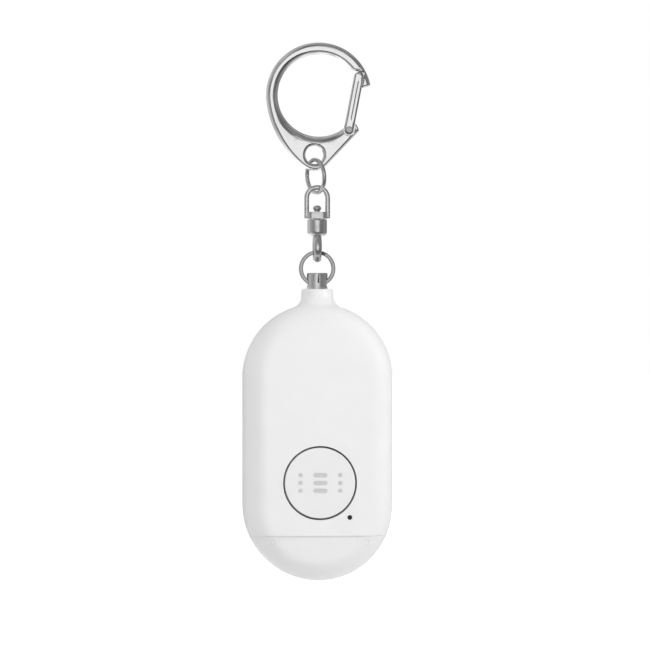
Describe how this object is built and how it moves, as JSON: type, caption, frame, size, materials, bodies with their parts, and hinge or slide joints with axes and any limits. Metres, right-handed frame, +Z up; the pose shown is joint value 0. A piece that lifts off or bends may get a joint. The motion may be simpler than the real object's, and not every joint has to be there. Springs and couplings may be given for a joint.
{
  "type": "personal safety alarm",
  "caption": "Pocket safety alarm: flat white capsule case with round push button and light lens, hung by a pull pin, swivel chain and sprung clip hook.",
  "frame": {"origin": "top of the clip hook's opening, where the alarm hangs", "axes": "+Z up along the hanging chain, +X to the right of the button face, the button faces -Y"},
  "size_m": [0.0356, 0.017, 0.1288],
  "materials": {
    "polished_zinc": "polished and nickel plated",
    "plated_steel": "nickel plated sheet and wire",
    "spring_steel": "bright spring wire",
    "turned_steel": "turned and plated",
    "white_shell": "fine satin moulding",
    "white_lens": "milky diffusing moulding",
    "white_button": "fine satin moulding",
    "grey_silicone": "dark grey silicone",
    "black_rubber": "matt black rubber",
    "black_plastic": "black moulding",
    "green_board": "solder mask",
    "led_phosphor": "phosphor on white body",
    "ferrite": "dark ferrite",
    "cell_steel": "bright steel can",
    "brass_disc": "rolled brass",
    "copper_lead": "tinned copper",
    "black_screw": "black oxide"
  },
  "bodies": {
    "hook": {"hook_body": "polished_zinc", "gate_rivet": "plated_steel", "gate_spring": "spring_steel"},
    "gate": {"gate": "plated_steel"},
    "jump_ring": {"jump_ring": "plated_steel"},
    "bail": {"swivel_bail": "polished_zinc"},
    "swivel": {"swivel_eye": "polished_zinc", "swivel_rivet": "plated_steel"},
    "split_ring": {"split_ring": "spring_steel"},
    "pin": {"pull_pin": "turned_steel"},
    "case": {"front_shell": "white_shell", "rear_shell": "white_shell", "light_lens": "white_lens", "button_seal": "grey_silicone", "button_retainer": "black_plastic", "tact_switch": "black_plastic", "circuit_board": "green_board", "strobe_leds": "led_phosphor", "status_led": "led_phosphor", "indicator_boot": "black_rubber", "control_chip": "black_plastic", "boost_coil": "ferrite", "battery_holder": "black_plastic", "negative_contact": "spring_steel", "coin_cells": "cell_steel", "positive_contact": "spring_steel", "siren_cup": "black_plastic", "piezo_disc": "brass_disc", "siren_gasket": "black_rubber", "siren_leads": "copper_lead", "pin_socket": "black_plastic", "pin_contacts": "brass_disc", "case_screws": "black_screw", "board_screws": "plated_steel"},
    "button": {"sos_button": "white_button", "tact_plunger": "black_plastic"}
  },
  "joints": [
    {"name": "gate_hinge", "type": "hinge", "parent": "hook", "child": "gate", "pos_m": [0.0076, 0, -0.0182], "axis": [0, -1, 0], "range_deg": [0, 34], "stiffness_Nm_per_rad": 0.02, "springref_deg": -20.05, "deforming": ["gate_spring"]},
    {"name": "jump_ring_swing", "type": "hinge", "parent": "hook", "child": "jump_ring", "pos_m": [-0.0007, 0, -0.02535], "axis": [0, 1, 0], "range_deg": [-20, 20]},
    {"name": "bail_swing", "type": "hinge", "parent": "jump_ring", "child": "bail", "pos_m": [0, 0, -0.03199], "axis": [1, 0, 0], "range_deg": [-35, 35]},
    {"name": "swivel_spin", "type": "hinge", "parent": "bail", "child": "swivel", "pos_m": [0, 0, -0.03997], "axis": [0, 0, 1], "continuous": true},
    {"name": "split_ring_swing", "type": "hinge", "parent": "swivel", "child": "split_ring", "pos_m": [0, 0, -0.05147], "axis": [0, 1, 0], "range_deg": [-25, 25]},
    {"name": "pin_swing", "type": "hinge", "parent": "split_ring", "child": "pin", "pos_m": [0, 0, -0.05492], "axis": [1, 0, 0], "range_deg": [-35, 35]},
    {"name": "pin_pull", "type": "slide", "parent": "pin", "child": "case", "axis": [0, 0, -1], "range_m": [0, 0.012]},
    {"name": "button_press", "type": "slide", "parent": "case", "child": "button", "axis": [0, 1, 0], "range_m": [0, 0.0004], "stiffness_N_per_m": 6000, "springref_m": -0.0002}
  ]
}
